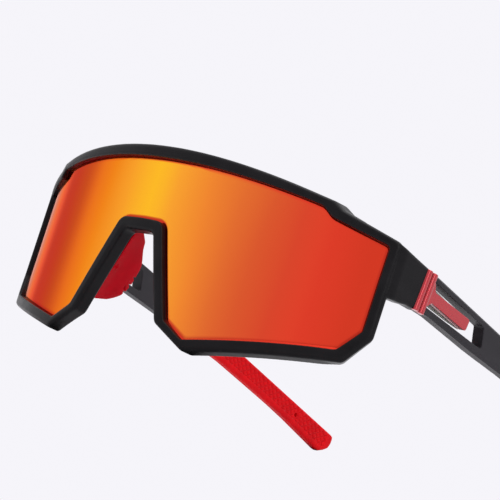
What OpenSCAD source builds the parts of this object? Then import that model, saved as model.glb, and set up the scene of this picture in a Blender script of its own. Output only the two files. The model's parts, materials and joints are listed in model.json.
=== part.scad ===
// Wraparound sport sunglasses with one shield lens, standing on a flat surface with the temples open.
// The parts are drawn in the lens frame: X to the wearer's left, Y towards the back of the head, Z up
// along the lens's cylinder, with the origin on the lens's outer face at the top centre of the opening.
// stand() then leans them onto the surface that the rim and the temple tips rest on.

/* [Front] */
// Radius of the lens's outer face, seen from above
lens_radius = 95.5; // [94:0.5:98]
// Thickness of the shield lens
lens_t = 2; // [1.8:0.1:2.2]
// How far the rim stands in front of the lens
rim_proud = 1.5; // [1:0.1:2]
// How far the rim reaches behind the lens's outer face
rim_depth = 3.6; // [3.4:0.1:4]
// How far the lens's edge sits in the rim's groove
groove_bite = 1.2; // [0.8:0.1:1.4]

/* [Temples] */
// Outer face of the temples, from the middle plane
side_x = 70; // [69.5:0.1:70.5]
// Thickness of the temple arms at the hinge
arm_t = 4; // [3.8:0.1:4.2]
// Downward slope of the temples' top edge behind the hinge
temple_slope = 11.4; // [11:0.1:11.8]
// Thickness of the rubber tips
tip_t = 3.6; // [3.4:0.1:3.8]
// Radius of the hole for a retainer cord
cord_hole_r = 0.75; // [0.6:0.05:0.9]

/* [Hinges] */
// Tilt of the hinge axis from the lens's cylinder
hinge_tilt = 5; // [4:0.5:6]
// Outer radius of the hinge knuckles
knuckle_r = 1.5; // [1.4:0.05:1.6]
// Radius of the hinge screw's shank
screw_r = 0.65; // [0.6:0.01:0.68]

/* [Hidden] */

$fn = 96;
// Gap between pieces that only touch, and between pieces that turn past each other
fit_gap = 0.03;
turn_gap = 0.12;
// Segments in each rounded corner of an outline
corner_steps = 5;

// Hinge axis in the lens frame
pivot = [side_x - arm_t - 1.7, 42, -16.6];
inner_x = side_x - arm_t;
// Half the length of the hinge barrel, of its middle knuckle, and of the bars beside the parting line
barrel_half = 3.6;
middle_half = 1.3;
bar_half = 5.9;
bar_w = 2.3;
bar_depth = 1.2;
bar_bulge = 0.7;
// Height of the temples' top edge at the hinge, where and how it bends down, and where the arm and tip end
top_z = -10.4;
bend_y = 80;
tail_slope = 12.75;
slot_rail = 1.9;
sleeve_y = 98;
tip_y = 172.4;
tip_bottom = [166.4, -44.9];
// Lowest corner of the front rim, with its distance from the middle plane
rim_corner = [26.5, -52];
cord_hole = [152, -37.4];
// Directions of the opening's and the rim's sides from the lens's axis
opening_angle = 44.1;
rim_angle = 46.1;
// Beyond every side, for outlines that the side walls cut off
wide = 80;

// Depth of a point on a cylinder of radius r about the lens's own axis
function arc_y(x, r) = lens_radius - sqrt(r * r - x * x);
function unit(v) = v / norm(v);
function temple_top(y) =
    top_z - (min(y, bend_y) - pivot[1]) * tan(temple_slope) - max(0, y - bend_y) * tan(tail_slope);
function mirrored(half) =
    concat(half, [for (i = [len(half) - 1:-1:0]) if (half[i][0] != 0) [-half[i][0], half[i][1]]]);

// Points of an arc that rounds the corner at b, between a and c, with radius r
function corner(a, b, c, r) =
    let(
        u = unit(a - b),
        v = unit(c - b),
        half = acos(max(-1, min(1, u * v))) / 2,
        reach = r / tan(half),
        middle = b + unit(u + v) * r / sin(half),
        from = b + u * reach - middle,
        to = b + v * reach - middle,
        turn = 180 - 2 * half,
        side = from[0] * to[1] - from[1] * to[0] > 0 ? 1 : -1
    )
    [for (i = [0:corner_steps])
        let(w = side * turn * i / corner_steps)
        middle + [from[0] * cos(w) - from[1] * sin(w), from[0] * sin(w) + from[1] * cos(w)]];

// Each point is [x, y] or [x, y, radius]; corners with a radius become arcs
function rounded(list) =
    [for (i = [0:len(list) - 1])
        let(
            p = list[i],
            b = [p[0], p[1]],
            n = len(list),
            a = [list[(i + n - 1) % n][0], list[(i + n - 1) % n][1]],
            c = [list[(i + 1) % n][0], list[(i + 1) % n][1]]
        )
        each len(p) < 3 || i == 0 || i == n - 1 ? [b] : corner(a, b, c, p[2])];

// An outline moved outwards by d; the outline runs clockwise
function grown(list, d) =
    [for (i = [0:len(list) - 1])
        let(
            n = len(list),
            p = list[i],
            u = unit(p - list[(i + n - 1) % n]),
            v = unit(list[(i + 1) % n] - p),
            nu = [-u[1], u[0]],
            nv = [-v[1], v[0]]
        )
        p + d * (nu + nv) / (1 + nu * nv)];

// Half outlines seen from the front, from the top middle round to the nose; the top edges are long arcs
function crown(z, sag_r, last) = [for (x = [0:6:last]) [x, z - x * x / (2 * sag_r)]];
opening_half = rounded(concat(crown(0, 357, 48), [
    [51, -3.7, 2], [53.6, -6, 2], [wide, -12.65], [wide, -33.5], [66, -33.5, 1.5], [62.4, -40.4, 1.2],
    [25.6, -48.9, 1], [18.6, -44.7, 2.5], [8, -18, 3.2], [0, -17.8]
]));
rim_half = rounded(concat(crown(3.5, 278, 48), [
    [53.2, -1.5, 1.5], [55.6, -3.3, 1.5], [wide, -10.8], [wide, -34.8], [69.7, -34.8, 3], [65.2, -43.4, 2],
    [rim_corner[0], rim_corner[1], 2], [15.6, -45.9, 2.5], [5.7, -21.3, 2.6], [0, -21.3]
]));
opening = mirrored(opening_half);
rim_outline = mirrored(rim_half);

module along_y(from, to) {
    translate([0, to, 0]) rotate([90, 0, 0]) linear_extrude(to - from) children();
}

module along_x(from, to) {
    translate([from, 0, 0]) rotate([90, 0, 90]) linear_extrude(to - from) children();
}

// Draws its children in the hinge frame: Z along the hinge axis, origin at the middle of the barrel
module at_hinge() {
    translate(pivot) rotate([-hinge_tilt, 0, 0]) children();
}

module side(right) {
    mirror([right ? 1 : 0, 0, 0]) children();
}

// A curved band of material between two radii about the lens's axis
module shell(inner, outer) {
    translate([0, lens_radius, -60]) difference() {
        cylinder(r = outer, h = 70, $fn = 240);
        translate([0, 0, -1]) cylinder(r = inner, h = 72, $fn = 240);
    }
}

// The part of the front within an angle of the middle plane, so that its side walls point at the lens's axis
module sector(angle) {
    reach = 150;
    translate([0, 0, -60]) linear_extrude(70) polygon([
        [0, lens_radius], [-reach * sin(angle), lens_radius - reach * cos(angle)],
        [reach * sin(angle), lens_radius - reach * cos(angle)]
    ]);
}

module curved_plate(list, angle, inner, outer) {
    intersection() {
        shell(inner, outer);
        along_y(-3, 46) polygon(list);
        sector(angle);
    }
}

// The opening's outline and side angle, grown by d
module lens_plate(d, inner, outer) {
    curved_plate(grown(opening, d), opening_angle + d / lens_radius * 180 / PI, inner, outer);
}

module rim() {
    difference() {
        curved_plate(rim_outline, rim_angle, lens_radius - rim_depth, lens_radius + rim_proud);
        lens_plate(0, lens_radius - rim_depth - 1, lens_radius + rim_proud + 1);
    }
}

module end_piece() {
    difference() {
        intersection() {
            translate([0, 0, -30]) linear_extrude(30) polygon(rounded([
                [67, 29], [68.6, 28.4, 1], [side_x, 30.5, 4], [side_x, 45], [inner_x, 45], [inner_x, 32.6, 2],
                [64.5, 30.8]
            ]));
            along_x(55, 75) polygon([
                [18, -4.9], [26, -6.9], [31, -8.2], [37, -9.5], [44, -10.9], [43, -22.4], [37, -22.2],
                [34, -22.6], [18, -23.2]
            ]);
        }
        // Butt face, rebate for the band and blind holes for the leaf's screws
        at_hinge() translate([-10, -turn_gap / 2, -20]) cube([30, 20, 40]);
        at_hinge() translate([side_x - pivot[0] - bar_depth, -bar_w - fit_gap, -20]) cube([10, 20, 40]);
        leaf_screw_sites() cylinder(r = leaf_screw_r + fit_gap, h = 2.7);
    }
}

// Pegs that the nose pad is pushed onto
peg = [11.2, -31];
peg_r = 0.6;
peg_l = 1.4;
nose_radius = lens_radius - rim_depth;

module peg_sites() {
    for (s = [-1, 1])
        translate([s * peg[0], arc_y(peg[0], nose_radius), peg[1]]) rotate([90, 0, 0]) children();
}

module front_frame() {
    color("#26252a") difference() {
        union() {
            rim();
            peg_sites() translate([0, 0, -peg_l]) cylinder(r = peg_r, h = peg_l + 1);
            for (right = [false, true]) side(right) end_piece();
        }
        lens_plate(groove_bite + 0.1, lens_radius - lens_t - fit_gap, lens_radius + fit_gap);
    }
}

module shield_lens() {
    color("#e8552a") lens_plate(groove_bite, lens_radius - lens_t, lens_radius);
}

// One soft piece: two wings that lean out along the nose, joined by a strap over the bridge
wing_at = [5.4, 4, -20.8];
wing_lean = 22;
wing_splay = 22;
wing_t = 2.4;
strap_t = 1.9;
wing = rounded([
    [-1, 1], [3, 1.5, 1], [9, -1, 3], [12.8, -6.5, 4], [15.2, -14, 5], [13, -20, 4], [5, -22, 3],
    [-1, -21.5]
]);

module nose_pad() {
    color("#c8182a") difference() {
        union() {
            for (right = [false, true]) side(right)
                translate(wing_at) rotate([0, -wing_lean, -wing_splay]) along_x(0, wing_t) polygon(wing);
            intersection() {
                shell(nose_radius - strap_t, nose_radius - fit_gap);
                translate([-6.4, -1, -20.6]) cube([12.8, 10, 2.4]);
            }
        }
        shell(nose_radius - fit_gap, lens_radius + 12);
        peg_sites() translate([0, 0, -peg_l - 0.2]) cylinder(r = peg_r + fit_gap, h = 20);
    }
}

// Section of a bar with a domed outer face, between y = from and y = to, seen along the hinge axis
module bar_section(from, to) {
    base = side_x - pivot[0] - bar_depth;
    face = side_x - pivot[0];
    half = (to - from) / 2;
    dome = (half * half + bar_bulge * bar_bulge) / (2 * bar_bulge);
    translate([base, from]) square([bar_depth, to - from]);
    intersection() {
        translate([face + bar_bulge - dome, (from + to) / 2]) circle(r = dome);
        translate([face - 0.3, from]) square([5, to - from]);
    }
}

module bar(from, to) {
    at_hinge() translate([0, 0, -bar_half]) linear_extrude(2 * bar_half) bar_section(from, to);
}

module end_band() {
    color("#a81e28") bar(-bar_w, -turn_gap / 2);
}

// Screws that hold the front leaf to the end piece
leaf_screw_r = 0.6;
leaf_screw_y = [-6.4, -3.7];
leaf_t = 0.8;
leaf_x = inner_x - pivot[0];

module leaf_screw_sites() {
    for (y = leaf_screw_y) at_hinge() translate([leaf_x, y, 0]) rotate([0, 90, 0]) children();
}

module knuckle(from, to) {
    translate([0, 0, from]) cylinder(r = knuckle_r, h = to - from);
}

module front_leaf() {
    color("#b9bbc0") difference() {
        at_hinge() union() {
            translate([leaf_x - leaf_t, -8, -barrel_half]) cube([leaf_t - fit_gap, 6.2, 2 * barrel_half]);
            for (z = [-barrel_half, middle_half + turn_gap]) {
                knuckle(z, z + barrel_half - middle_half - turn_gap);
                translate([leaf_x - leaf_t, -2, z])
                    cube([leaf_t - fit_gap, 2, barrel_half - middle_half - turn_gap]);
            }
        }
        at_hinge() translate([0, 0, -10]) cylinder(r = screw_r + 0.04, h = 20);
        leaf_screw_sites() translate([0, 0, -3]) cylinder(r = leaf_screw_r + fit_gap, h = 6);
    }
}

module front_leaf_screws() {
    color("#9a9ca0") difference() {
        leaf_screw_sites() union() {
            translate([0, 0, -leaf_t - 0.1]) cylinder(r = leaf_screw_r, h = leaf_t + 2.7);
            translate([0, 0, -leaf_t - 0.5]) cylinder(r = 1.15, h = 0.5 - fit_gap);
        }
        leaf_screw_sites() translate([-0.15, -2, -leaf_t - 0.6]) cube([0.3, 4, 0.3]);
    }
}

// The screw is the hinge's axle; its slotted head lies on the upper knuckle
module hinge_screw() {
    color("#9a9ca0") at_hinge() difference() {
        union() {
            translate([0, 0, -barrel_half]) cylinder(r = screw_r, h = 2 * barrel_half + 0.1);
            translate([0, 0, barrel_half + fit_gap]) cylinder(r = 1.3, h = 0.7);
        }
        translate([-2, -0.18, barrel_half + 0.45]) cube([4, 0.36, 1]);
    }
}

// Side outlines of the arm, its slot, the tongue in the sleeve and the sleeve, as [y, z]
arm_side = [
    [37, temple_top(37)], [bend_y, temple_top(bend_y)], [sleeve_y, temple_top(sleeve_y)],
    [sleeve_y, -29.9], [83.2, -27.6],
    [67.2, -25.5], [47.2, -22.3], [37, -21.6]
];
slot_side = rounded([
    [44, temple_top(44) - slot_rail], [69.2, temple_top(69.2) - slot_rail, 0.6], [70.8, -23.8, 0.6],
    [44, -20.2], [44, -19]
]);
tongue_end = 144;
tongue_side = [
    [sleeve_y - 0.5, temple_top(sleeve_y) - 1.5], [tongue_end, temple_top(tongue_end) - 1.7],
    [tongue_end, temple_top(tongue_end) - 4.9], [126, -33.7], [112, -30.8], [sleeve_y - 0.5, -28.5]
];
tongue_x = [67.4, 69];
sleeve_side = rounded([
    [sleeve_y + fit_gap, temple_top(sleeve_y) + 0.1], [tip_y, temple_top(tip_y) + 0.1, 1],
    [tip_y - 2.6, tip_bottom[1] + 1.7, 1.2], [tip_bottom[0], tip_bottom[1], 1],
    [149, -40.4], [128, -35.6], [114, -32.5], [sleeve_y + fit_gap, -30]
]);

module temple_arm() {
    color("#2b2a2f") difference() {
        union() {
            intersection() {
                along_x(60, 75) polygon(arm_side);
                translate([0, 0, -60]) linear_extrude(60) polygon([
                    [side_x, 30], [side_x, sleeve_y], [side_x - tip_t + 0.2, sleeve_y], [inner_x, 72],
                    [inner_x, 30]
                ]);
            }
            along_x(tongue_x[0], tongue_x[1]) polygon(tongue_side);
        }
        along_x(60, 75) polygon(slot_side);
        along_x(stem_x[0] - fit_gap, 75) polygon(grown(stem_side, fit_gap));
        // Butt face, rebate for the trim's bar, and pocket for the leaf
        at_hinge() translate([-10, turn_gap / 2 - 20, -20]) cube([30, 20, 40]);
        at_hinge() translate([side_x - pivot[0] - bar_depth, -10, -20]) cube([10, 10 + bar_w + fit_gap, 40]);
        along_x(plate_x - fit_gap, plate_x + leaf_t + fit_gap) polygon(grown(leaf_side, fit_gap));
        at_hinge() translate([-1, -1, -middle_half - fit_gap])
            cube([plate_x - pivot[0] + 1.4, 2 + fit_gap, 2 * middle_half + 2 * fit_gap]);
    }
}

// The leaf's long round-ended tail lies across the slot, behind the trim
plate_x = 67;
leaf_side = rounded([
    [41, -12.7], [59.5, -16.9, 2], [63.4, -18.9, 1.2], [62.3, -21.3, 1.4], [56, -21.2, 6],
    [45.5, -19.6], [41, -19.1]
]);

module temple_leaf() {
    color("#b4b6ba") difference() {
        union() {
            at_hinge() knuckle(-middle_half, middle_half);
            at_hinge() translate([0, turn_gap + 0.1, -middle_half])
                cube([plate_x - pivot[0] + 0.3, 0.8, 2 * middle_half]);
            along_x(plate_x, plate_x + leaf_t) polygon(leaf_side);
        }
        at_hinge() translate([plate_x - pivot[0] - 0.4, turn_gap - 20, -20]) cube([10, 20, 40]);
        at_hinge() translate([0, 0, -10]) cylinder(r = screw_r + 0.04, h = 20);
        trim_screw_sites() translate([0, 0, -2]) cylinder(r = leaf_screw_r + fit_gap, h = 4);
    }
}

// Screws through the leaf into the trim's stem, as [y, z]
trim_screw_at = [[48.4, -17.5], [57.6, -19]];
stem_x = [68.5, side_x + 0.5];

module trim_screw_sites() {
    for (p = trim_screw_at) translate([plate_x, p[0], p[1]]) rotate([0, 90, 0]) children();
}

stem_side = rounded([
    [43.2, -13], [44.6, -13.3, 0.4], [45.4, -15.5, 1.2], [62.2, -17.9, 0.7], [61.7, -21.4, 0.7],
    [45.2, -18.6, 1.2], [44, -19.9, 0.4], [43.2, -19.9]
]);

module temple_trim() {
    color("#b03440") difference() {
        union() {
            bar(turn_gap / 2, bar_w);
            along_x(stem_x[0], stem_x[1]) polygon(stem_side);
            trim_screw_sites() translate([0, 0, leaf_t + fit_gap]) cylinder(r = 1.1, h = 1);
        }
        at_hinge() translate([-10, turn_gap / 2 - 20, -20]) cube([30, 20, 40]);
        trim_screw_sites() cylinder(r = leaf_screw_r + fit_gap, h = 2.6);
    }
}

module trim_screws() {
    color("#9a9ca0") difference() {
        trim_screw_sites() union() {
            translate([0, 0, -0.1]) cylinder(r = leaf_screw_r, h = 2.6);
            translate([0, 0, -0.5]) cylinder(r = 1.1, h = 0.5 - fit_gap);
        }
        trim_screw_sites() translate([-0.15, -2, -0.6]) cube([0.3, 4, 0.3]);
    }
}

module temple_tip() {
    middle = side_x - tip_t / 2;
    half = tip_t / 2;
    color("#c4161f") difference() {
        intersection() {
            along_x(60, 76) polygon(sleeve_side);
            translate([0, 0, -60]) linear_extrude(60) polygon([
                [middle + half, sleeve_y], [middle + half, 168], [middle + half - 0.5, tip_y + 3],
                [middle - half + 0.5, tip_y + 3], [middle - half, 168], [middle - half, sleeve_y]
            ]);
        }
        along_x(tongue_x[0] - fit_gap, tongue_x[1] + fit_gap) polygon(grown(tongue_side, fit_gap));
        translate([60, cord_hole[0], cord_hole[1]]) rotate([0, 90, 0]) cylinder(r = cord_hole_r, h = 16);
    }
}

// Angle that brings the rim's corners and the tips onto one flat surface, and the height of that surface
rim_rest = [arc_y(rim_corner[0] - 1, lens_radius - rim_depth), min([for (p = rim_half) p[1]])];
tip_rest = [tip_bottom[0], min([for (p = sleeve_side) p[1]])];
rest_tilt = -atan2(tip_rest[1] - rim_rest[1], tip_rest[0] - rim_rest[0]);
rest_lift = -(rim_rest[0] * sin(rest_tilt) + rim_rest[1] * cos(rest_tilt));
// Moves the box's middle onto the origin
rest_back = -83.72;

module stand() {
    translate([0, rest_back, rest_lift]) rotate([rest_tilt, 0, 0]) children();
}

module both(name) {
    stand() children();
    stand() side(true) children();
}

stand() front_frame();
stand() shield_lens();
stand() nose_pad();
both("end_band") end_band();
both("front_leaf") front_leaf();
both("front_leaf_screws") front_leaf_screws();
both("hinge_screw") hinge_screw();
both("temple_arm") temple_arm();
both("temple_leaf") temple_leaf();
both("temple_trim") temple_trim();
both("trim_screws") trim_screws();
both("temple_tip") temple_tip();
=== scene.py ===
"""Wraparound sport sunglasses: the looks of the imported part.

Shapes are drawn in the lens frame in millimetres, as in the part's source: X to the wearer's left, Y
towards the back of the head, Z up along the lens's cylinder, origin on the lens's outer face at the top
middle of the opening. TO_ROW takes them to the row frame in metres.
"""

import json
import math

import bmesh
import bpy
import numpy as np
from mathutils import Matrix, Vector


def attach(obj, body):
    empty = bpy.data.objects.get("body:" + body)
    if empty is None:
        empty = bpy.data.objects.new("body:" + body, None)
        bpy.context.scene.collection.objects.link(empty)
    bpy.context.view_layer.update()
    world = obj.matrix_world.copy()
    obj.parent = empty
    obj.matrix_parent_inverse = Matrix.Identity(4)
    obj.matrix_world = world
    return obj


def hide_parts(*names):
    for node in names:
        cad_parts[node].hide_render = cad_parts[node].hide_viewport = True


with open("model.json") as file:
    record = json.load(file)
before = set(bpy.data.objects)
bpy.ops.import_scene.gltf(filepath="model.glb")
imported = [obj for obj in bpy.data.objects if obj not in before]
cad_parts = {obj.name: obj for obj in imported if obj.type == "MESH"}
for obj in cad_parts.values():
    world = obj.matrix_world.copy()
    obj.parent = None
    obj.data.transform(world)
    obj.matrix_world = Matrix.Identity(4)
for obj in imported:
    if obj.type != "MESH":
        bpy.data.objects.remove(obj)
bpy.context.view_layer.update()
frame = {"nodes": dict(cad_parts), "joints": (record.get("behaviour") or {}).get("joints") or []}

# The part's sizes, in millimetres and degrees
LENS_R = 95.5
LENS_T = 2.0
RIM_PROUD = 1.5
RIM_BACK = 3.6
SIDE_X = 70.0
PIVOT = Vector((64.3, 42.0, -16.6))
HINGE_TILT = 5.0
TEMPLE_TOP = -10.4
TEMPLE_SLOPE = 11.4
BEND_Y = 80.0
TAIL_SLOPE = 12.75
SLEEVE_START = 98.0
SLEEVE_END = 171.7
CORD_HOLE = (152.0, -37.4)
CORD_HOLE_R = 0.75
TIP_T = 3.6
PEG = (11.2, -31.0)
CORNER_STEPS = 6
# How much wider than the opening the lens is drawn, so that its sides run into the rim
LENS_TUCK = 1.005


def lens_frame():
    """The matrix from the lens frame in millimetres to the row frame in metres, from the left joint."""
    joint = next(j for j in frame["joints"] if j["name"] == "fold_left")
    axis = joint["axis"]
    lean = math.radians(HINGE_TILT) - math.atan2(axis[1], axis[2])
    turn = Matrix.Rotation(lean, 4, "X") @ Matrix.Scale(0.001, 4)
    return Matrix.Translation(Vector(joint["pos_m"]) - turn @ PIVOT) @ turn


TO_ROW = lens_frame()
MIRROR = Matrix.Scale(-1, 4, (1, 0, 0))


# ---------------------------------------------------------------- meshes


def mesh_object(name, verts, faces):
    mesh = bpy.data.meshes.new(name)
    mesh.from_pydata([tuple(v) for v in verts], [], faces)
    mesh.update()
    obj = bpy.data.objects.new(name, mesh)
    bpy.context.scene.collection.objects.link(obj)
    return obj


def apply_modifiers(obj):
    depsgraph = bpy.context.evaluated_depsgraph_get()
    done = bpy.data.meshes.new_from_object(obj.evaluated_get(depsgraph))
    obj.modifiers.clear()
    old, obj.data = obj.data, done
    bpy.data.meshes.remove(old)


def soften(obj, voxel, rounds):
    """Joins the closed shapes in obj under one even skin and rounds its edges."""
    skin = obj.modifiers.new("skin", "REMESH")
    skin.mode = "VOXEL"
    skin.voxel_size = voxel
    apply_modifiers(obj)
    smooth = obj.modifiers.new("round", "SMOOTH")
    smooth.factor = 0.5
    smooth.iterations = rounds
    apply_modifiers(obj)


def move_points(obj, rule):
    """rule takes an array of points and returns where they go."""
    mesh = obj.data
    co = np.empty(len(mesh.vertices) * 3)
    mesh.vertices.foreach_get("co", co)
    mesh.vertices.foreach_set("co", np.asarray(rule(co.reshape(-1, 3))).ravel())
    mesh.update()


def cad_copy(node, name):
    """A copy of a CAD node's mesh as a new object in the lens frame."""
    mesh = frame["nodes"][node].data.copy()
    mesh.materials.clear()
    mesh.transform(TO_ROW.inverted())
    obj = bpy.data.objects.new(name, mesh)
    bpy.context.scene.collection.objects.link(obj)
    with_mesh(obj, lambda bm: bmesh.ops.remove_doubles(bm, verts=bm.verts, dist=1e-4))
    return obj


def with_mesh(obj, action):
    bm = bmesh.new()
    bm.from_mesh(obj.data)
    action(bm)
    bm.to_mesh(obj.data)
    bm.free()
    obj.data.update()


def mirrored_copy(obj, name):
    mesh = obj.data.copy()
    mesh.transform(MIRROR)
    mesh.flip_normals()
    twin = bpy.data.objects.new(name, mesh)
    bpy.context.scene.collection.objects.link(twin)
    return twin


def join(name, objects):
    """One object with the meshes of several."""
    bm = bmesh.new()
    for o in objects:
        bm.from_mesh(o.data)
        bpy.data.objects.remove(o)
    obj = mesh_object(name, [], [])
    bm.to_mesh(obj.data)
    bm.free()
    return obj


def place(obj, material, body, slot, *nodes, to_row=True):
    """Finishes a piece: smooth shading, material, the row frame, its body and the nodes it stands for."""
    if to_row:
        obj.data.transform(TO_ROW)
    obj.data.polygons.foreach_set("use_smooth", [True] * len(obj.data.polygons))
    if not obj.data.materials:
        obj.data.materials.append(material)
    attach(obj, body)
    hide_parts(*nodes)
    return obj


def corner(before, here, after, radius, steps=CORNER_STEPS):
    """Points of an arc that rounds a corner of an outline."""
    u, v = (before - here).normalized(), (after - here).normalized()
    half = math.acos(max(-1, min(1, u.dot(v)))) / 2
    middle = here + (u + v).normalized() * radius / math.sin(half)
    start = here + u * radius / math.tan(half) - middle
    end = here + v * radius / math.tan(half) - middle
    turn = math.copysign(math.pi - 2 * half, start.x * end.y - start.y * end.x)
    points = []
    for i in range(steps + 1):
        c, s = math.cos(turn * i / steps), math.sin(turn * i / steps)
        points.append(middle + Vector((start.x * c - start.y * s, start.x * s + start.y * c)))
    return points


def outline(keys, counts, steps=CORNER_STEPS):
    """Points along [(x, y, radius), ...]: an arc at each inner key, counts[i] steps from key i to i + 1."""
    at = [Vector(k[:2]) for k in keys]
    points = [at[0]]
    for i in range(1, len(at)):
        last = i == len(at) - 1
        arc = [at[i]] if last else corner(at[i - 1], at[i], at[i + 1], keys[i][2], steps)
        start = points[-1]
        points += [start.lerp(arc[0], j / counts[i - 1]) for j in range(1, counts[i - 1])]
        points += arc
    return points


def loft(sections, closed):
    """Faces through rows of points, each row a closed loop. closed joins the last row to the first."""
    n, m = len(sections), len(sections[0])
    verts = [p for row in sections for p in row]
    faces = []
    for i in range(n if closed else n - 1):
        for j in range(m):
            a, b = i * m + j, i * m + (j + 1) % m
            c, d = ((i + 1) % n) * m + (j + 1) % m, ((i + 1) % n) * m + j
            faces.append((a, b, c, d))
    if not closed:
        faces.append(tuple(range(m - 1, -1, -1)))
        faces.append(tuple((n - 1) * m + j for j in range(m)))
    return verts, faces


def rounded_box(x0, x1, z0, z1, radii, steps=4):
    """A rectangle's outline with its own radius at each corner: low-low, high-low, high-high, low-high."""
    at = [Vector((x0, z0)), Vector((x1, z0)), Vector((x1, z1)), Vector((x0, z1))]
    return [p for i in range(4) for p in corner(at[i - 1], at[i], at[(i + 1) % 4], radii[i], steps)]


def arc_y(x, radius):
    return LENS_R - math.sqrt(radius * radius - x * x)


def temple_top(y):
    front, tail = (math.tan(math.radians(a)) for a in (TEMPLE_SLOPE, TAIL_SLOPE))
    return TEMPLE_TOP - (np.minimum(y, BEND_Y) - PIVOT.y) * front - np.maximum(0, y - BEND_Y) * tail


def butt_y(z):
    """Where the parting plane stands at height z."""
    return PIVOT.y + (z - PIVOT.z) * math.tan(math.radians(HINGE_TILT))


def ramp(t, low, high):
    """0 below low, 1 above high, smooth between."""
    t = np.clip((np.asarray(t, float) - low) / (high - low), 0, 1)
    return t * t * (3 - 2 * t)


# ---------------------------------------------------------------- materials


def new_material(name):
    material = bpy.data.materials.new(name)
    material.use_nodes = True
    nodes, links = material.node_tree.nodes, material.node_tree.links
    return material, nodes, links, nodes["Principled BSDF"]


def object_coordinates(nodes, links, scale=(1, 1, 1)):
    coordinates = nodes.new("ShaderNodeTexCoord")
    mapping = nodes.new("ShaderNodeMapping")
    mapping.inputs["Scale"].default_value = scale
    links.new(coordinates.outputs["Object"], mapping.inputs["Vector"])
    return mapping.outputs["Vector"]


def noise(nodes, links, vector, scale, detail=3.0, roughness=0.5):
    texture = nodes.new("ShaderNodeTexNoise")
    texture.inputs["Scale"].default_value = scale
    texture.inputs["Detail"].default_value = detail
    texture.inputs["Roughness"].default_value = roughness
    links.new(vector, texture.inputs["Vector"])
    return texture.outputs["Fac"]


def spread(nodes, links, value, low, high, at=(0.3, 0.7)):
    """value between at[0] and at[1] becomes low to high."""
    scale = nodes.new("ShaderNodeMapRange")
    scale.inputs["From Min"].default_value, scale.inputs["From Max"].default_value = at
    scale.inputs["To Min"].default_value, scale.inputs["To Max"].default_value = low, high
    links.new(value, scale.inputs["Value"])
    return scale.outputs["Result"]


def colours(nodes, links, value, stops):
    """value through a colour ramp of (place, (r, g, b)) stops."""
    ramp_node = nodes.new("ShaderNodeValToRGB")
    elements = ramp_node.color_ramp.elements
    while len(elements) < len(stops):
        elements.new(0.5)
    for element, (at, rgb) in zip(elements, stops):
        element.position = at
        element.color = (*rgb, 1)
    links.new(value, ramp_node.inputs["Fac"])
    return ramp_node.outputs["Color"]


def bump(nodes, links, shader, height, strength, distance):
    node = nodes.new("ShaderNodeBump")
    node.inputs["Strength"].default_value = strength
    node.inputs["Distance"].default_value = distance
    links.new(height, node.inputs["Height"])
    links.new(node.outputs["Normal"], shader.inputs["Normal"])


def plastic(name, dark, light, rough, sheen):
    """Moulded black nylon: fine spark-eroded grain, faint flow marks, and a painted highlight that lightens
    the sharp edges.
    """
    material, nodes, links, shader = new_material(name)
    vector = object_coordinates(nodes, links)
    grain = noise(nodes, links, vector, 5200, 2)
    flow = noise(nodes, links, object_coordinates(nodes, links, (1, 0.35, 1)), 130, 4, 0.6)
    geometry = nodes.new("ShaderNodeNewGeometry")
    # Painted highlight: sharp outer edges, found by their pointiness, get a lighter colour
    edge = spread(nodes, links, geometry.outputs["Pointiness"], 0, 1, (0.52, 0.6))
    base = colours(nodes, links, flow, [(0.35, dark), (0.7, light)])
    edge_highlight_colour = nodes.new("ShaderNodeMix")
    edge_highlight_colour.data_type = "RGBA"
    links.new(edge, edge_highlight_colour.inputs["Factor"])
    links.new(base, edge_highlight_colour.inputs["A"])
    edge_highlight_colour.inputs["B"].default_value = (*[c * 1.7 for c in light], 1)
    links.new(edge_highlight_colour.outputs["Result"], shader.inputs["Base Color"])
    links.new(spread(nodes, links, flow, rough - 0.05, rough + 0.07), shader.inputs["Roughness"])
    shader.inputs["Specular IOR Level"].default_value = sheen
    bump(nodes, links, shader, grain, 0.25, 0.00004)
    return material


def rubber(name, dark, light, rough, sheen):
    """Silicone rubber: colour a little uneven, painted shade that darkens the hollows, soft sheen,
    fine-grained skin.
    """
    material, nodes, links, shader = new_material(name)
    vector = object_coordinates(nodes, links)
    patches = noise(nodes, links, vector, 160, 4, 0.6)
    skin = noise(nodes, links, vector, 3800, 3)
    geometry = nodes.new("ShaderNodeNewGeometry")
    # Painted shade: concave places, such as the grooves between the sleeve's diamonds and the nose pad's
    # notches, get a darker colour
    low = spread(nodes, links, geometry.outputs["Pointiness"], 0, 1, (0.5, 0.42))
    base = colours(nodes, links, patches, [(0.3, dark), (0.7, light)])
    hollow_shade_colour = nodes.new("ShaderNodeMix")
    hollow_shade_colour.data_type = "RGBA"
    links.new(low, hollow_shade_colour.inputs["Factor"])
    links.new(base, hollow_shade_colour.inputs["A"])
    hollow_shade_colour.inputs["B"].default_value = (*[c * 0.7 for c in dark], 1)
    links.new(hollow_shade_colour.outputs["Result"], shader.inputs["Base Color"])
    links.new(spread(nodes, links, patches, rough - 0.06, rough + 0.1), shader.inputs["Roughness"])
    shader.inputs["Specular IOR Level"].default_value = sheen
    bump(nodes, links, shader, skin, 0.2, 0.00004)
    return material


def red_metal():
    """Red metallic lacquer: fine flakes under a clear coat, with faint brush lines in its gloss."""
    material, nodes, links, shader = new_material("red_metal")
    flakes = noise(nodes, links, object_coordinates(nodes, links), 9000, 1)
    lines = noise(nodes, links, object_coordinates(nodes, links, (1, 1, 0.08)), 2500, 2)
    tint = colours(nodes, links, flakes, [(0.35, (0.37, 0.016, 0.024)), (0.65, (0.43, 0.026, 0.036))])
    links.new(tint, shader.inputs["Base Color"])
    shader.inputs["Metallic"].default_value = 0.8
    links.new(spread(nodes, links, lines, 0.27, 0.32), shader.inputs["Roughness"])
    shader.inputs["Coat Weight"].default_value = 0.6
    shader.inputs["Coat Roughness"].default_value = 0.08
    return material


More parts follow.
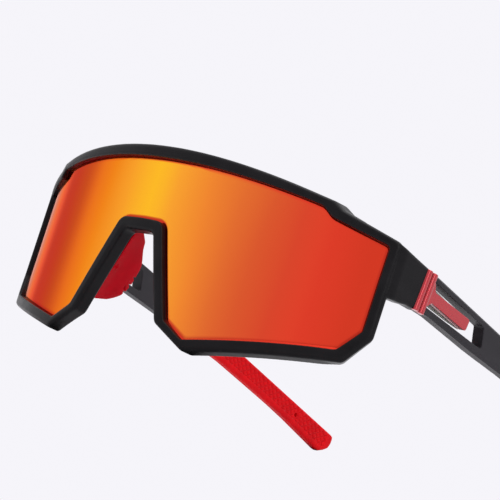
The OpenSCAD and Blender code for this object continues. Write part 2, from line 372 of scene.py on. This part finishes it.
def steel():
    """Matt nickel-silver hinge metal with rolling lines in its gloss and a few darker stains."""
    material, nodes, links, shader = new_material("hinge_steel")
    lines = noise(nodes, links, object_coordinates(nodes, links, (1, 0.06, 1)), 3000, 3)
    stains = noise(nodes, links, object_coordinates(nodes, links), 300, 4)
    tint = colours(nodes, links, stains, [(0.3, (0.34, 0.335, 0.3)), (0.65, (0.46, 0.45, 0.4))])
    links.new(tint, shader.inputs["Base Color"])
    shader.inputs["Metallic"].default_value = 0.5
    links.new(spread(nodes, links, lines, 0.55, 0.65), shader.inputs["Roughness"])
    return material


def lens_mirror():
    """The mirror coating: yellow in the middle, through orange to red at the sides, redder at the edge."""
    material, nodes, links, shader = new_material("lens_mirror")
    coordinates = nodes.new("ShaderNodeTexCoord")
    parts = nodes.new("ShaderNodeSeparateXYZ")
    links.new(coordinates.outputs["Object"], parts.inputs["Vector"])
    drift = noise(nodes, links, object_coordinates(nodes, links, (1, 1, 0.35)), 38, 2, 0.4)
    across = nodes.new("ShaderNodeMath")
    across.operation = "ABSOLUTE"
    links.new(parts.outputs["X"], across.inputs[0])
    place_in_ramp = nodes.new("ShaderNodeMath")
    place_in_ramp.operation = "MULTIPLY_ADD"
    place_in_ramp.inputs[1].default_value = 1 / 0.07
    links.new(across.outputs[0], place_in_ramp.inputs[0])
    links.new(spread(nodes, links, drift, -0.03, 0.03), place_in_ramp.inputs[2])
    film = colours(nodes, links, place_in_ramp.outputs[0], LENS_COLOURS)
    bevel = nodes.new("ShaderNodeAttribute")
    bevel.attribute_name = "bevel"
    mixed = nodes.new("ShaderNodeMix")
    mixed.data_type = "RGBA"
    links.new(bevel.outputs["Fac"], mixed.inputs["Factor"])
    links.new(film, mixed.inputs["A"])
    mixed.inputs["B"].default_value = (0.7, 0.035, 0.015, 1)
    links.new(mixed.outputs["Result"], shader.inputs["Base Color"])
    shader.inputs["Metallic"].default_value = 1.0
    shader.inputs["Specular Tint"].default_value = (1.0, 0.36, 0.12, 1)
    haze = noise(nodes, links, object_coordinates(nodes, links), 90, 5, 0.6)
    links.new(spread(nodes, links, haze, 0.06, 0.11), shader.inputs["Roughness"])
    shader.inputs["Coat Weight"].default_value = 0.12
    shader.inputs["Coat Roughness"].default_value = 0.04
    return material


# Colours of the coating, from the middle (0) to 70 mm beside it (1)
LENS_COLOURS = [
    (0.0, (1.0, 0.52, 0.014)), (0.08, (0.98, 0.46, 0.018)), (0.15, (0.95, 0.36, 0.024)),
    (0.29, (0.88, 0.24, 0.024)), (0.43, (0.77, 0.15, 0.024)), (0.54, (0.71, 0.095, 0.022)),
    (0.66, (0.7, 0.058, 0.02)), (0.8, (0.77, 0.045, 0.018)), (0.95, (0.86, 0.05, 0.018)),
]


def lens_back():
    """The lens's inner face: smoke-grey polycarbonate, with wipe marks in its gloss."""
    material, nodes, links, shader = new_material("lens_back")
    wipes = noise(nodes, links, object_coordinates(nodes, links, (0.3, 1, 1)), 240, 4, 0.6)
    tint = colours(nodes, links, wipes, [(0.3, (0.022, 0.018, 0.016)), (0.7, (0.032, 0.025, 0.022))])
    links.new(tint, shader.inputs["Base Color"])
    links.new(spread(nodes, links, wipes, 0.06, 0.14), shader.inputs["Roughness"])
    return material


BLACK = plastic("frame_black", (0.004, 0.0036, 0.0044), (0.007, 0.0062, 0.0074), 0.32, 0.11)
TEMPLE_BLACK = plastic("temple_black", (0.012, 0.0105, 0.0135), (0.018, 0.016, 0.0195), 0.42, 0.2)
TIP_RED = rubber("tip_red", (0.44, 0.001, 0.004), (0.58, 0.003, 0.006), 0.5, 0.06)
NOSE_RED = rubber("nose_red", (0.37, 0.0006, 0.006), (0.46, 0.001, 0.009), 0.42, 0.014)
RED_METAL = red_metal()
STEEL = steel()
LENS_MIRROR = lens_mirror()
LENS_BACK = lens_back()


# ---------------------------------------------------------------- front


# Keys of half the lens opening and half the rim after the crown, each (x, z, radius), in matching order
CROWN_END = 48.0
OPENING_KEYS = [
    (51, -3.7, 2), (53.6, -6, 2), (66.45, -9.2, 1.2), (66.3, -33.5, 2), (62.4, -40.4, 1.2),
    (25.6, -48.9, 1), (18.6, -44.7, 2.5), (8, -18, 3.2), (0, -17.8),
]
RIM_KEYS = [
    (53.2, -1.5, 1.5), (55.6, -3.3, 1.5), (68.8, -7.4, 1.5), (68.7, -34.8, 3), (64.4, -43.3, 2),
    (26.5, -52, 2), (15.6, -45.9, 2.5), (5.7, -21.3, 2.6), (0, -21.3),
]
KEY_STEPS = [2, 2, 10, 18, 5, 28, 6, 20, 6]


def half_outline(keys, crown_z, crown_r):
    crown = [Vector((x, crown_z - x * x / (2 * crown_r))) for x in np.linspace(0, CROWN_END, 33)]
    last = crown[-1]
    return crown[:-1] + outline([(last.x, last.y, 0), *keys], KEY_STEPS)


def whole(half):
    """A half outline that starts and ends on the middle plane, with its mirror image, as one loop."""
    return half + [Vector((-p.x, p.y)) for p in half[-2:0:-1]]


OPENING = half_outline(OPENING_KEYS, 0, 357)
RIM = half_outline(RIM_KEYS, 3.5, 278)


def on_wall(x, z, depth):
    """A point of an outline at a depth in front of the lens's face. Side walls point at the lens's axis."""
    x *= 1 + float(ramp(abs(x), 57, 65)) * depth / LENS_R
    return x, arc_y(x, LENS_R + depth), z


def rim_section(inner, outer):
    """The rim's rounded section between a point of the opening and one of the outer edge."""
    width = (outer - inner).length
    return [
        on_wall(*inner.lerp(outer, w / width), d)
        for w, d in rounded_box(0, width, -RIM_BACK, RIM_PROUD, (0.4, 0.5, 1.2, 0.45))
    ]


def end_piece():
    """From inside the rim's side straight back to the parting plane."""
    sections = []
    for y in np.linspace(28.2, PIVOT.y - 0.1, 36):
        out = SIDE_X - 0.6 * (1 - float(ramp(y, 27.5, 31)))
        inside = 65 + float(ramp(y, 28, 33))
        top = np.interp(y, [26, 31, 37, 44], [-6.9, -8.2, -9.5, -10.9])
        low = np.interp(y, [18, 34, 37, 43], [-23.2, -22.6, -22.2, -22.4])
        ring = rounded_box(inside, out, low, top, (0.6, 0.9, 1.0, 0.6))
        sections.append([(p.x, y + (butt_y(p.y) - PIVOT.y) * float(ramp(y, 32, PIVOT.y)), p.y) for p in ring])
    verts, faces = loft(sections, False)
    return mesh_object("end_piece", verts, faces)


def front_frame():
    sections = [rim_section(a, b) for a, b in zip(whole(OPENING), whole(RIM))]
    verts, faces = loft(sections, True)
    ring = mesh_object("ring", verts, faces)
    left = end_piece()
    right = mirrored_copy(left, "end_piece_right")
    body = join("front_frame_shell", [ring, left, right])
    with_mesh(body, lambda bm: bmesh.ops.recalc_face_normals(bm, faces=bm.faces))
    soften(body, 0.28, 3)
    place(body, BLACK, "front", "frame", "front_frame")


def shield_lens():
    """A curved plate in even columns, with a fine bevel where it meets the rim."""
    side = max(p.x for p in OPENING)
    top = np.array([(p.x, p.y) for p in OPENING if p.y > -9.3])
    low = np.array([(p.x, p.y) for p in OPENING[len(top):]][::-1])
    low = low[np.argsort(low[:, 0], kind="stable")]
    columns = np.concatenate([
        np.linspace(0, 8, 9), np.linspace(8.5, 26, 36), np.linspace(27, 62, 48),
        np.linspace(62.2, side - 0.02, 40),
    ])
    columns = np.concatenate([-columns[:0:-1], columns])
    rows = 40
    verts, bevel = [], []
    for depth, sign in ((0, 1), (-LENS_T, -1)):
        for x in columns:
            z1 = np.interp(abs(x), top[:, 0], top[:, 1]) + 0.3
            z0 = np.interp(abs(x), low[:, 0], low[:, 1]) - 0.3
            for t in 0.5 - 0.5 * np.cos(np.linspace(0, math.pi, rows)):
                z = z0 + (z1 - z0) * t
                gap = distance_to_outline(abs(x), z)
                verts.append(on_wall(x * LENS_TUCK, z, depth - sign * 0.12 * float(1 - ramp(gap, 0, 1.1))))
                bevel.append(float(1 - ramp(gap, 0.6, 1.1)))
    n = len(columns)
    faces, back_faces = [], set()
    for layer in range(2):
        for i in range(n - 1):
            for j in range(rows - 1):
                a = layer * n * rows + i * rows + j
                quad = (a, a + rows, a + rows + 1, a + 1)
                faces.append(quad if layer == 0 else quad[::-1])
                if layer:
                    back_faces.add(len(faces) - 1)
    border = [i * rows for i in range(n)] + [(n - 1) * rows + j for j in range(1, rows)]
    border += [i * rows + rows - 1 for i in range(n - 2, -1, -1)] + [j for j in range(rows - 2, 0, -1)]
    for a, b in zip(border, border[1:] + border[:1]):
        faces.append((b, a, a + n * rows, b + n * rows))
    lens = mesh_object("lens", verts, faces)
    attribute = lens.data.attributes.new("bevel", "FLOAT", "POINT")
    attribute.data.foreach_set("value", bevel)
    lens.data.materials.append(LENS_MIRROR)
    lens.data.materials.append(LENS_BACK)
    for i in back_faces:
        lens.data.polygons[i].material_index = 1
    place(lens, LENS_MIRROR, "front", "lens", "shield_lens")


OPENING_POINTS = np.array([(p.x, p.y) for p in OPENING])


def distance_to_outline(x, z):
    """How far a point is from half the opening's outline."""
    a, b = OPENING_POINTS[:-1], OPENING_POINTS[1:]
    along = b - a
    t = np.clip(((x - a[:, 0]) * along[:, 0] + (z - a[:, 1]) * along[:, 1]) / (along ** 2).sum(1), 0, 1)
    foot = a + along * t[:, None]
    return float(np.hypot(foot[:, 0] - x, foot[:, 1] - z).min())


# The nose wings' notches, by angle below the line to the rear from a point (y, z), in degrees
NOTCH_CENTRE = (9.0, -30.5)
NOTCH_ANGLES = (6, 24, 42)
NOTCH_HALF_ANGLE = 2.2
NOTCH_DEPTH = 1.2
WING_FULLNESS = 2.2


def nose_pad():
    """The soft nose piece: the CAD wings, peg sockets closed, with a fuller, notched rear edge."""
    wings = cad_copy("nose_pad", "nose_pad_wings")
    front = arc_y(PEG[0], LENS_R - RIM_BACK)
    plugs = [rod("plug", 0.8, 1.9, (side * PEG[0], front + 1.3, PEG[1]), "X") for side in (-1, 1)]
    pad = join("nose_pad_soft", [wings, *plugs])
    soften(pad, 0.16, 14)

    def shape(co):
        out = co.copy()
        heights = ramp(-co[:, 2], 22, 29) * (1 - ramp(-co[:, 2], 36, 40))
        out[:, 1] += WING_FULLNESS * ramp(co[:, 1], 7, 14) * heights
        back, down = co[:, 1] - NOTCH_CENTRE[0], NOTCH_CENTRE[1] - co[:, 2]
        reach, turn = np.hypot(back, down), np.degrees(np.arctan2(down, back))
        for angle in NOTCH_ANGLES:
            near = np.exp(-((turn - angle) / NOTCH_HALF_ANGLE) ** 2) * ramp(reach, 5.0, 7.5) * NOTCH_DEPTH
            out[:, 1] -= near * back / reach
            out[:, 2] += near * down / reach
        return out

    move_points(pad, shape)
    place(pad, NOSE_RED, "front", "nose_rubber", "nose_pad")


# ---------------------------------------------------------------- temples


def chamfer(co, height, width):
    """Cuts the outer long edges at 45 degrees: height is the distance below (or above) the edge, an array."""
    out = co.copy()
    over = (co[:, 0] - SIDE_X) - height + width
    cut = np.maximum(over, 0) / 2
    out[:, 0] -= cut
    return out, cut


def arm():
    """The arm from the CAD, softened, with its outer long edges cut to facets."""
    piece = cad_copy("temple_arm_left", "temple_arm_left_skin")
    soften(piece, 0.16, 3)

    def shape(co):
        outer = co[:, 1] < SLEEVE_START - 0.2
        top = temple_top(co[:, 1]) - co[:, 2]
        low = co[:, 2] - np.interp(co[:, 1], [37, 47.2, 67.2, 83.2, 98], [-21.6, -22.3, -25.5, -27.6, -29.9])
        out, cut = chamfer(co, top, 0.6)
        out[:, 2] -= cut * outer
        out[:, 0] = np.where(outer, out[:, 0], co[:, 0])
        faceted, cut = chamfer(out, low, 0.8)
        faceted[:, 2] += cut
        return np.where(outer[:, None], faceted, out)

    move_points(piece, shape)
    twin = mirrored_copy(piece, "temple_arm_right_skin")
    place(piece, TEMPLE_BLACK, "temple_left", "temple", "temple_arm_left")
    place(twin, TEMPLE_BLACK, "temple_right", "temple", "temple_arm_right")


def sleeve_heights(y):
    """Lowest and highest point of the rubber tip at y."""
    low = np.interp(
        y,
        [SLEEVE_START, 114, 128, 140, 149, 165.3, 166.8, 168.9, 170.2, SLEEVE_END],
        [-29.9, -32.5, -35.4, -37.95, -40.1, -44.5, -44.75, -43.9, -43.1, -40.6],
    )
    end = max(0, y - SLEEVE_END + 1)
    return low, temple_top(y) + 0.1 - (1 - math.sqrt(1 - end * end))


def tip():
    """The rubber sleeve: a rounded bar with diamonds on both faces inside a smooth border, and its hole."""
    middle = SIDE_X - TIP_T / 2
    ys = np.concatenate([
        np.linspace(SLEEVE_START + 0.03, 170.2, 300), np.linspace(170.35, SLEEVE_END - 0.02, 12),
    ])
    sections = []
    for y in ys:
        low, top = sleeve_heights(y)
        taper = math.sqrt(max(0.03, 1 - ((y - 170.2) / 1.55) ** 2)) if y > 170.2 else 1
        half = TIP_T / 2 * taper
        radius = min(1.1, half * 0.75, (top - low) * 0.3)
        sections.append(knurl_loop(middle, half, low, top, radius, y))
    verts, faces = loft(sections, False)
    piece = mesh_object("temple_tip_left_grip", verts, faces)
    with_mesh(piece, lambda bm: bmesh.ops.recalc_face_normals(bm, faces=bm.faces))
    drill(piece, middle)
    twin = mirrored_copy(piece, "temple_tip_right_grip")
    place(piece, TIP_RED, "temple_left", "tip_rubber", "temple_tip_left")
    place(twin, TIP_RED, "temple_right", "tip_rubber", "temple_tip_right")


KNURL_PITCH = 2.45
KNURL_DEPTH = 0.22


def knurl_loop(middle, half, low, top, radius, y):
    """One section of the sleeve. Its faces carry diamonds, but not their border and the rounded edges."""
    face_steps = 36
    corners = rounded_box(-half, half, low, top, (radius,) * 4, 5)
    arcs = [corners[i * 6:(i + 1) * 6] for i in range(4)]
    loop = []
    for i, steps in enumerate((6, face_steps, 6, face_steps)):
        loop += [*arcs[i], *lerp_points(arcs[i][-1], arcs[(i + 1) % 4][0], steps)]
    slope = math.radians(TAIL_SLOPE)
    ends = float(ramp(y, SLEEVE_START + 2, SLEEVE_START + 2.5) * (1 - ramp(y, 167.5, 168.3)))
    ring = []
    for p in loop:
        along = y * math.cos(slope) - p.y * math.sin(slope)
        across = p.y - temple_top(y)
        u, v = (along + across * 1.15) / KNURL_PITCH, (along - across * 1.15) / KNURL_PITCH
        groove = 1 - float(ramp(min(abs(u - round(u)), abs(v - round(v))) * 2, 0.1, 0.55))
        inside = ends * float(ramp(p.y, low + 1.5, low + 1.8) * ramp(top - p.y, 0.7, 1.0))
        face = float(ramp(abs(p.x), half - 0.25, half - 0.02))
        cut = inside * face * (0.08 + KNURL_DEPTH * groove)
        ring.append((middle + p.x - math.copysign(cut, p.x), y, p.y))
    return ring


def lerp_points(a, b, steps):
    return [a.lerp(b, i / steps) for i in range(1, steps)]


def rod(name, radius, length, centre, axis):
    """A round bar that the turn about an axis has laid down from upright."""
    bm = bmesh.new()
    bmesh.ops.create_cone(
        bm, cap_ends=True, segments=40, radius1=radius, radius2=radius, depth=length,
        matrix=Matrix.Translation(centre) @ Matrix.Rotation(math.pi / 2, 4, axis),
    )
    obj = mesh_object(name, [], [])
    bm.to_mesh(obj.data)
    bm.free()
    return obj


def drill(piece, middle):
    """The cord hole, cut through the sleeve."""
    cutter = rod("cutter", CORD_HOLE_R, 12, (middle, *CORD_HOLE), "Y")
    cut = piece.modifiers.new("hole", "BOOLEAN")
    cut.object = cutter
    cut.operation = "DIFFERENCE"
    cut.solver = "EXACT"
    apply_modifiers(piece)
    bpy.data.objects.remove(cutter)


def red_trim():
    """The red bars and stems, softened from the CAD."""
    for node, body, voxel in (("end_band", "front", 0.11), ("temple_trim", "temple", 0.12)):
        piece = cad_copy(node + "_left", node + "_left_lacquer")
        soften(piece, voxel, 9)
        twin = mirrored_copy(piece, node + "_right_lacquer")
        for side, obj in (("left", piece), ("right", twin)):
            ride = body if body == "front" else f"temple_{side}"
            place(obj, RED_METAL, ride, "red_metal", f"{node}_{side}")


def slim_tail(co):
    """Raises the lower edge of the temple leaf's tail, for a gap between it and the slot's lower rail."""
    out = co.copy()
    low = np.interp(co[:, 1], [41, 45.5, 56, 62.3], [-19.1, -19.6, -21.2, -21.3])
    lift = np.interp(co[:, 1], [43, 45.5, 56, 62.3], [0, 0.45, 0.6, 0.1])
    out[:, 2] += lift * (1 - ramp(co[:, 2] - low, 0, 3))
    return out


def hardware():
    """Hinge leaves with broken edges; the small screws stay as packed."""
    for node, body in (("front_leaf", "front"), ("temple_leaf", "temple")):
        piece = cad_copy(node + "_left", node + "_left_steel")
        soften(piece, 0.09, 12)
        if body == "temple":
            move_points(piece, slim_tail)
        twin = mirrored_copy(piece, node + "_right_steel")
        for side, obj in (("left", piece), ("right", twin)):
            ride = body if body == "front" else f"temple_{side}"
            place(obj, STEEL, ride, "hinge_steel", f"{node}_{side}")
    for name, node in frame["nodes"].items():
        if "screw" in name:
            node.data.materials.clear()
            node.data.materials.append(STEEL)


# ---------------------------------------------------------------- studio


def floor():
    """A pale floor under the object. Its underside lets the low camera through."""
    size = 3.0
    corners = [(-size, -size, 0), (size, -size, 0), (size, size, 0), (-size, size, 0)]
    obj = mesh_object("floor", corners, [(0, 1, 2, 3)])
    material, nodes, links, shader = new_material("floor")
    vector = object_coordinates(nodes, links)
    tone = noise(nodes, links, vector, 3, 2)
    tint = colours(nodes, links, tone, [(0.3, (0.8, 0.8, 0.82)), (0.7, (0.84, 0.84, 0.86))])
    links.new(tint, shader.inputs["Base Color"])
    shader.inputs["Roughness"].default_value = 0.7
    clear = nodes.new("ShaderNodeBsdfTransparent")
    side = nodes.new("ShaderNodeNewGeometry")
    mix = nodes.new("ShaderNodeMixShader")
    links.new(side.outputs["Backfacing"], mix.inputs["Fac"])
    links.new(shader.outputs["BSDF"], mix.inputs[1])
    links.new(clear.outputs["BSDF"], mix.inputs[2])
    links.new(mix.outputs["Shader"], nodes["Material Output"].inputs["Surface"])
    obj.data.materials.append(material)


def light(name, place_at, aim, size, power):
    data = bpy.data.lights.new(name, "AREA")
    data.shape = "RECTANGLE"
    data.size, data.size_y = size
    data.energy = power
    lamp = bpy.data.objects.new(name, data)
    bpy.context.scene.collection.objects.link(lamp)
    lamp.location = place_at
    lamp.rotation_mode = "QUATERNION"
    lamp.rotation_quaternion = (Vector(aim) - Vector(place_at)).to_track_quat("-Z", "Y")


# Light from below (0), from the horizon (0.5) and from straight up (1), as the object receives it
SKY = [
    (0.0, (0.4, 0.395, 0.41)), (0.45, (0.55, 0.54, 0.57)), (0.56, (0.98, 0.97, 1.0)), (1.0, (1.1, 1.09, 1.12)),
]
# Soft dark flags and bright gaps round the object, by direction from behind (0) through the wearer's right
# (0.25), the front (0.5) and the wearer's left (0.75)
FLAGS = [
    (0.0, (1, 1, 1)), (0.155, (0.95, 0.95, 0.95)), (0.17, (0.78, 0.78, 0.78)), (0.187, (1.08, 1.08, 1.08)),
    (0.2, (1.05, 1.05, 1.05)), (0.213, (0.74, 0.74, 0.74)), (0.255, (0.76, 0.76, 0.76)), (0.28, (1, 1, 1)),
    (0.56, (1, 1, 1)), (0.61, (0.78, 0.78, 0.78)), (0.67, (0.72, 0.72, 0.72)), (0.76, (0.9, 0.9, 0.9)),
    (0.85, (1.2, 1.2, 1.2)), (0.93, (1.1, 1.1, 1.1)),
]


def arithmetic(nodes, links, operation, *values):
    node = nodes.new("ShaderNodeMath")
    node.operation = operation
    for socket, value in zip(node.inputs, values):
        links.new(value, socket)
    return node.outputs[0]


def studio():
    """A soft white room: an even backdrop for the camera, and light that falls off towards the floor."""
    world = bpy.data.worlds.new("studio")
    world.use_nodes = True
    nodes, links = world.node_tree.nodes, world.node_tree.links
    coordinates = nodes.new("ShaderNodeTexCoord")
    parts = nodes.new("ShaderNodeSeparateXYZ")
    links.new(coordinates.outputs["Generated"], parts.inputs["Vector"])
    height = spread(nodes, links, parts.outputs["Z"], 0, 1, (-1, 1))
    forward = spread(nodes, links, parts.outputs["Y"], 1, -1, (-1, 1))
    turn = arithmetic(nodes, links, "ARCTAN2", parts.outputs["X"], forward)
    around = spread(nodes, links, turn, 0, 1, (-math.pi, math.pi))
    light_colour = nodes.new("ShaderNodeMix")
    light_colour.data_type = "RGBA"
    light_colour.blend_type = "MULTIPLY"
    light_colour.inputs["Factor"].default_value = 1
    links.new(colours(nodes, links, height, SKY), light_colour.inputs["A"])
    links.new(colours(nodes, links, around, FLAGS), light_colour.inputs["B"])
    ambient = nodes["Background"]
    links.new(light_colour.outputs["Result"], ambient.inputs["Color"])
    backdrop = nodes.new("ShaderNodeBackground")
    backdrop.inputs["Color"].default_value = (0.92, 0.91, 0.955, 1)
    rays = nodes.new("ShaderNodeLightPath")
    mix = nodes.new("ShaderNodeMixShader")
    links.new(rays.outputs["Is Camera Ray"], mix.inputs["Fac"])
    links.new(ambient.outputs["Background"], mix.inputs[1])
    links.new(backdrop.outputs["Background"], mix.inputs[2])
    links.new(mix.outputs["Shader"], nodes["World Output"].inputs["Surface"])
    bpy.context.scene.world = world
    bpy.context.scene.view_settings.view_transform = "Standard"
    light("top", (0.1, 0.1, 1.0), (0, 0, 0.02), (0.9, 0.9), 5)
    light("right", (0.9, -0.3, 0.6), (0.03, -0.02, 0.03), (0.3, 0.9), 2.5)


# Where the camera stands in the lens frame, in millimetres, and how it is turned
CAMERA_AT = Vector((800.2, -761.8, -195.4))
CAMERA_AZIMUTH = 44.83
CAMERA_ELEVATION = -9.17
CAMERA_ROLL = 17.78
CAMERA_LENS = 292.2


def camera():
    azimuth, elevation, roll = (math.radians(a) for a in (CAMERA_AZIMUTH, CAMERA_ELEVATION, CAMERA_ROLL))
    level = math.cos(elevation)
    back = Vector((math.sin(azimuth) * level, -math.cos(azimuth) * level, math.sin(elevation)))
    right = (-back).cross(Vector((0, 0, 1))).normalized()
    up = right.cross(-back)
    across = right * math.cos(roll) + up * math.sin(roll)
    upward = up * math.cos(roll) - right * math.sin(roll)
    turn = TO_ROW.to_3x3().normalized()
    axes = Matrix((turn @ across, turn @ upward, turn @ back)).transposed()
    data = bpy.data.cameras.new("camera")
    data.lens = CAMERA_LENS
    data.sensor_width = 36
    data.clip_start, data.clip_end = 0.01, 50
    obj = bpy.data.objects.new("camera", data)
    bpy.context.scene.collection.objects.link(obj)
    obj.matrix_world = Matrix.Translation(TO_ROW @ CAMERA_AT) @ axes.to_4x4()
    bpy.context.scene.camera = obj


camera()
studio()
floor()
front_frame()
shield_lens()
nose_pad()
arm()
tip()
red_trim()
hardware()
